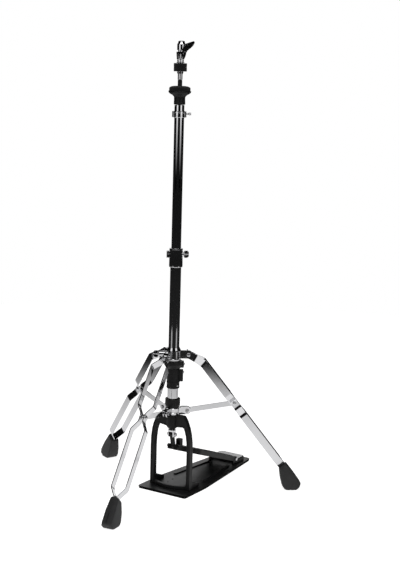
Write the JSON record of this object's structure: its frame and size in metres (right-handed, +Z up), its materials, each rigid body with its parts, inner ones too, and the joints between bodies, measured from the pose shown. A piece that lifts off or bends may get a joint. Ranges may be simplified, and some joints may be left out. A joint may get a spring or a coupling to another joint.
{
  "type": "hi-hat stand",
  "caption": "Hi-hat cymbal stand with a folding double-braced tripod, footboard pedal, telescoping tube, sprung pull rod, tilting cymbal seat and drop clutch.",
  "frame": {"origin": "on the floor, on the axis of the tubes, under the base plate", "axes": "+Z up along the tubes, +Y from the pedal's heel to its toe, +X to the side, so that the footboard's hinge lies along X"},
  "size_m": [0.6156, 0.6895, 1.1783],
  "materials": {
    "chrome": "bright plating",
    "black_paint": "satin powder coat",
    "grey_paint": "light grey satin coat",
    "black_plastic": "moulded, fine grain",
    "rubber": "matt",
    "felt": "pressed wool felt",
    "steel": "zinc-plated, fine brushed"
  },
  "bodies": {
    "frame": {"base_plate": "black_paint", "yoke_frame": "black_paint", "rod_guide": "black_plastic", "lower_tube": "chrome", "height_clamp": "chrome", "housing_ring": "black_plastic", "spring_housing": "black_plastic", "ring_screw": "chrome", "housing_screw": "chrome", "skirt_screw": "chrome", "spring_seat": "steel", "heel_plate": "grey_paint", "heel_hinge_pin": "steel"},
    "column": {"upper_tube": "chrome", "upper_rod_guide": "black_plastic", "seat_collar": "chrome"},
    "tilt_screw": {"tilt_thumbscrew": "chrome"},
    "seat": {"seat_cup": "black_plastic", "seat_felt": "felt", "seat_sleeve": "black_plastic"},
    "clutch": {"clutch_body": "chrome", "clutch_tube": "chrome", "clutch_lock_nut": "chrome", "clutch_washer": "chrome", "clutch_felt_upper": "felt", "clutch_felt_lower": "felt"},
    "lever": {"clutch_lever": "chrome"},
    "bottom_nut": {"clutch_bottom_nut": "chrome"},
    "height_screw": {"height_wing_screw": "chrome"},
    "dial": {"tension_dial": "black_plastic"},
    "rod": {"lower_pull_rod": "steel", "upper_pull_rod": "steel", "rod_connector": "chrome", "connector_pin": "steel", "spring_collar": "steel", "return_spring": "steel"},
    "strap": {"drive_strap": "black_paint"},
    "pedal": {"footboard": "black_paint", "toe_block": "black_plastic"},
    "tripod_collar": {"strut_collar": "chrome", "front_collar_bolt": "steel", "left_collar_bolt": "steel", "right_collar_bolt": "steel"},
    "hub": {"leg_hub": "chrome"},
    "hub_screw": {"hub_wing_screw": "chrome"},
    "front_leg": {"front_leg_strip_ccw": "chrome", "front_leg_strip_cw": "chrome", "front_rubber_foot": "rubber", "front_hub_bolt": "steel"},
    "front_strut_arm": {"front_strut": "chrome"},
    "left_leg": {"left_leg_strip_ccw": "chrome", "left_leg_strip_cw": "chrome", "left_rubber_foot": "rubber", "left_hub_bolt": "steel"},
    "left_strut_arm": {"left_strut": "chrome"},
    "right_leg": {"right_leg_strip_ccw": "chrome", "right_leg_strip_cw": "chrome", "right_rubber_foot": "rubber", "right_hub_bolt": "steel"},
    "right_strut_arm": {"right_strut": "chrome"}
  },
  "joints": [
    {"name": "tripod_swivel", "type": "hinge", "parent": "frame", "child": "tripod_collar", "pos_m": [0, 0, 0.2145], "axis": [0, 0, 1], "range_deg": [-22, 8]},
    {"name": "hub_slide", "type": "slide", "parent": "tripod_collar", "child": "hub", "axis": [0, 0, 1], "range_m": [0, 0.1401]},
    {"name": "hub_screw_turn", "type": "hinge", "parent": "hub", "child": "hub_screw", "pos_m": [0.03178, 0.0243, 0.371], "axis": [0.7944, 0.6074, 0], "range_deg": [0, 450]},
    {"name": "height_slide", "type": "slide", "parent": "frame", "child": "column", "axis": [0, 0, 1], "range_m": [-0.245, 0]},
    {"name": "height_screw_turn", "type": "hinge", "parent": "frame", "child": "height_screw", "pos_m": [-0.01689, -0.01072, 0.636], "axis": [-0.8443, -0.5358, 0], "range_deg": [0, 450]},
    {"name": "seat_tilt", "type": "hinge", "parent": "column", "child": "seat", "pos_m": [0, 0, 1.045], "axis": [0.5358, -0.8443, 0], "range_deg": [-2.2, 2.2]},
    {"name": "tilt_screw_turn", "type": "hinge", "parent": "column", "child": "tilt_screw", "pos_m": [-0.01689, -0.01072, 0.996], "axis": [-0.8443, -0.5358, 0], "range_deg": [-176, 176]},
    {"name": "clutch_lift", "type": "slide", "parent": "column", "child": "clutch", "axis": [0, 0, 1], "range_m": [0, 0.03]},
    {"name": "lever_turn", "type": "hinge", "parent": "clutch", "child": "lever", "pos_m": [-0.00971, -0.00616, 1.151], "axis": [0.5358, -0.8443, 0], "range_deg": [0, 80]},
    {"name": "bottom_nut_turn", "type": "hinge", "parent": "clutch", "child": "bottom_nut", "pos_m": [0, 0, 1.0985], "axis": [0, 0, 1], "range_deg": [0, 450]},
    {"name": "dial_turn", "type": "hinge", "parent": "frame", "child": "dial", "pos_m": [0, 0, 0.236], "axis": [0, 0, 1], "range_deg": [-270, 270]},
    {"name": "footboard_press", "type": "hinge", "parent": "frame", "child": "pedal", "pos_m": [0, -0.265, 0.023], "axis": [1, 0, 0], "range_deg": [-7, 0]},
    {"name": "pull_rod_slide", "type": "slide", "parent": "frame", "child": "rod", "axis": [0, 0, 1], "range_m": [-0.03119, 0], "stiffness_N_per_m": 1500, "springref_m": 0.02, "deforming": ["return_spring"]},
    {"name": "strap_swing", "type": "hinge", "parent": "rod", "child": "strap", "pos_m": [0, 0, 0.152], "axis": [1, 0, 0], "range_deg": [0, 15.46]},
    {"name": "front_leg_fold", "type": "hinge", "parent": "hub", "child": "front_leg", "pos_m": [-0.0048, 0.0382, 0.37], "axis": [-0.9922, -0.1246, 0], "range_deg": [0, 28]},
    {"name": "front_strut_fold", "type": "hinge", "parent": "tripod_collar", "child": "front_strut_arm", "pos_m": [-0.0048, 0.0382, 0.2185], "axis": [-0.9922, -0.1246, 0], "range_deg": [-58.17, 0]},
    {"name": "left_leg_fold", "type": "hinge", "parent": "hub", "child": "left_leg", "pos_m": [-0.03068, -0.02326, 0.37], "axis": [0.604, -0.797, 0], "range_deg": [0, 28]},
    {"name": "left_strut_fold", "type": "hinge", "parent": "tripod_collar", "child": "left_strut_arm", "pos_m": [-0.03068, -0.02326, 0.2185], "axis": [0.604, -0.797, 0], "range_deg": [-58.17, 0]},
    {"name": "right_leg_fold", "type": "hinge", "parent": "hub", "child": "right_leg", "pos_m": [0.03548, -0.01494, 0.37], "axis": [0.3882, 0.9216, 0], "range_deg": [0, 28]},
    {"name": "right_strut_fold", "type": "hinge", "parent": "tripod_collar", "child": "right_strut_arm", "pos_m": [0.03548, -0.01494, 0.2185], "axis": [0.3882, 0.9216, 0], "range_deg": [-58.17, 0]}
  ],
  "couplings": [
    {"joint": "pull_rod_slide", "follows": "footboard_press", "m_per_rad": 0.25528},
    {"joint": "strap_swing", "follows": "footboard_press", "ratio": -2.2089},
    {"joint": "tilt_screw_turn", "follows": "seat_tilt", "ratio": 80},
    {"joint": "front_leg_fold", "follows": "hub_slide", "rad_per_m": 3.4882},
    {"joint": "front_strut_fold", "follows": "hub_slide", "rad_per_m": -7.2467},
    {"joint": "left_leg_fold", "follows": "hub_slide", "rad_per_m": 3.4882},
    {"joint": "left_strut_fold", "follows": "hub_slide", "rad_per_m": -7.2467},
    {"joint": "right_leg_fold", "follows": "hub_slide", "rad_per_m": 3.4882},
    {"joint": "right_strut_fold", "follows": "hub_slide", "rad_per_m": -7.2467}
  ]
}
